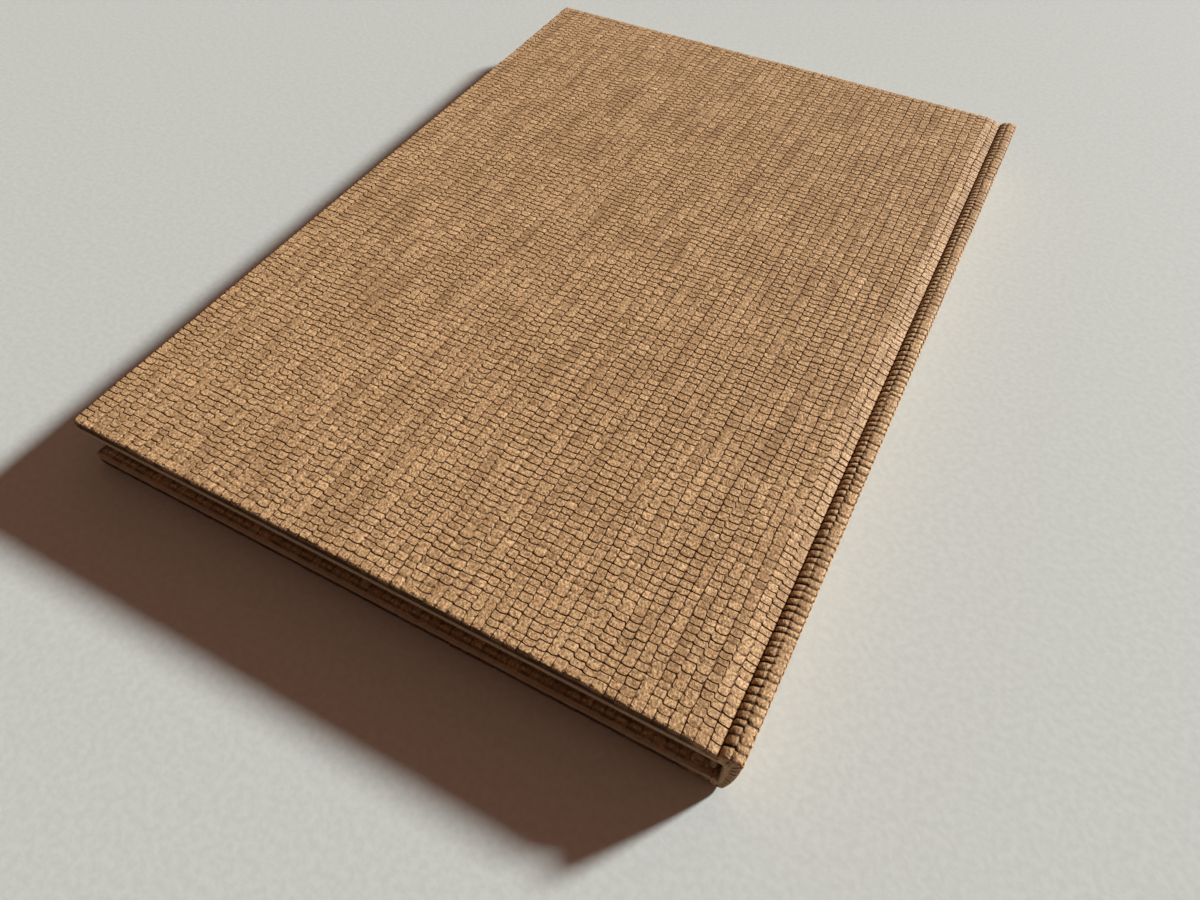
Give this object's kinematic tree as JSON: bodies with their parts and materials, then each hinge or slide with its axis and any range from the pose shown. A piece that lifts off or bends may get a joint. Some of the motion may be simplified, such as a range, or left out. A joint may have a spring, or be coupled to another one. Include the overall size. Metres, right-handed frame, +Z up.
{
  "type": "hardback journal",
  "caption": "Closed A5 hardback journal: text block in a case of thick boards and a flat spine with joint grooves, covered in brown embossed leatherette; both covers open.",
  "frame": {"origin": "centre of the underside of the closed journal, on the surface that it lies on", "axes": "+X from the fore-edge to the spine, +Y from the tail to the head, +Z up from the back cover to the front cover"},
  "size_m": [0.156, 0.216, 0.0153],
  "materials": {
    "covering": "embossed, low sheen",
    "board": "raw grey board",
    "pages": "uncoated",
    "endpaper": "uncoated",
    "mull": "open weave, sized",
    "liner": "plain kraft",
    "band": "woven, two colours"
  },
  "bodies": {
    "book_block": {"text_block": "pages", "front_flyleaf": "endpaper", "back_flyleaf": "endpaper", "mull_spine": "mull", "spine_liner": "liner", "head_band": "band", "tail_band": "band", "spine_board": "board", "spine_covering": "covering"},
    "front_cover": {"front_board": "board", "front_covering": "covering", "front_pastedown": "endpaper", "mull_front_flange": "mull"},
    "back_cover": {"back_board": "board", "back_covering": "covering", "back_pastedown": "endpaper", "mull_back_flange": "mull"}
  },
  "joints": [
    {"name": "front_hinge", "type": "hinge", "parent": "book_block", "child": "front_cover", "pos_m": [0.07315, 0, 0.0155], "axis": [0, 1, 0], "range_deg": [0, 179]},
    {"name": "back_hinge", "type": "hinge", "parent": "book_block", "child": "back_cover", "pos_m": [0.07315, 0, -0.0002], "axis": [0, -1, 0], "range_deg": [0, 179]}
  ]
}
